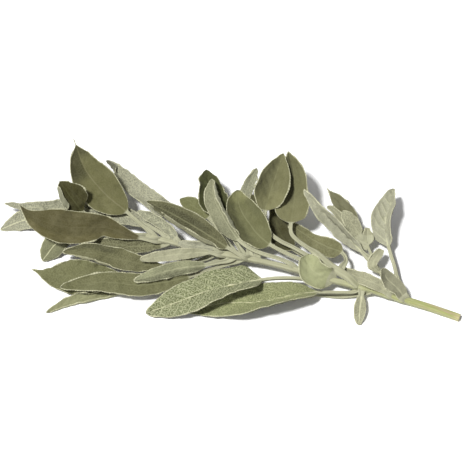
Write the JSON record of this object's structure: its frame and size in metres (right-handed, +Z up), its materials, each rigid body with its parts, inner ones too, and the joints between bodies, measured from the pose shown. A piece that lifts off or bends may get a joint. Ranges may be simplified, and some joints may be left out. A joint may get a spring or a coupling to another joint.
{
  "type": "sage bunch",
  "caption": "Cut sprig of sage lying on its side: a branching stem whose leafy shoots carry long, velvety grey-green leaves with fine midribs.",
  "frame": {"origin": "on the surface that the sprig lies on, below the middle of its length and breadth", "axes": "+X along the sprig towards the cut end of the main stem, +Y across it towards the standing shoots, +Z up from the surface that it lies on"},
  "size_m": [0.198, 0.0822, 0.0259],
  "materials": {
    "stem": "satin",
    "olive_leaf": "matte",
    "pale_leaf": "matte",
    "dark_leaf": "matte",
    "brown_leaf": "matte"
  },
  "bodies": {
    "root": {"main_stem": "stem", "upper_shoot_stem": "stem", "right_shoot_stem": "stem", "right_leaf_1": "pale_leaf", "right_leaf_2": "pale_leaf", "right_leaf_3": "pale_leaf", "right_leaf_4": "dark_leaf", "right_leaf_5": "pale_leaf", "right_leaf_6": "pale_leaf", "right_leaf_7": "pale_leaf", "right_leaf_8": "pale_leaf", "upper_leaf_1": "olive_leaf", "upper_leaf_2": "olive_leaf", "upper_leaf_3": "dark_leaf", "upper_leaf_4": "olive_leaf", "upper_leaf_5": "olive_leaf", "upper_leaf_6": "pale_leaf", "upper_leaf_7": "dark_leaf", "upper_leaf_8": "pale_leaf", "upper_leaf_9": "dark_leaf", "upper_leaf_10": "olive_leaf", "upper_leaf_11": "olive_leaf", "back_leaf": "pale_leaf", "fork_leaf_1": "pale_leaf", "fork_leaf_2": "pale_leaf", "fork_leaf_3": "pale_leaf", "left_leaf_1": "brown_leaf", "left_leaf_2": "dark_leaf", "left_leaf_3": "pale_leaf", "left_leaf_4": "brown_leaf", "left_leaf_5": "pale_leaf", "left_leaf_6": "olive_leaf", "left_leaf_7": "olive_leaf", "left_leaf_8": "olive_leaf", "left_leaf_9": "olive_leaf", "left_leaf_10": "olive_leaf", "left_leaf_11": "pale_leaf", "left_leaf_12": "pale_leaf", "left_leaf_13": "pale_leaf", "left_leaf_14": "pale_leaf", "left_leaf_15": "olive_leaf", "front_leaf_1": "olive_leaf", "front_leaf_2": "pale_leaf", "front_leaf_3": "olive_leaf"}
  },
  "joints": []
}
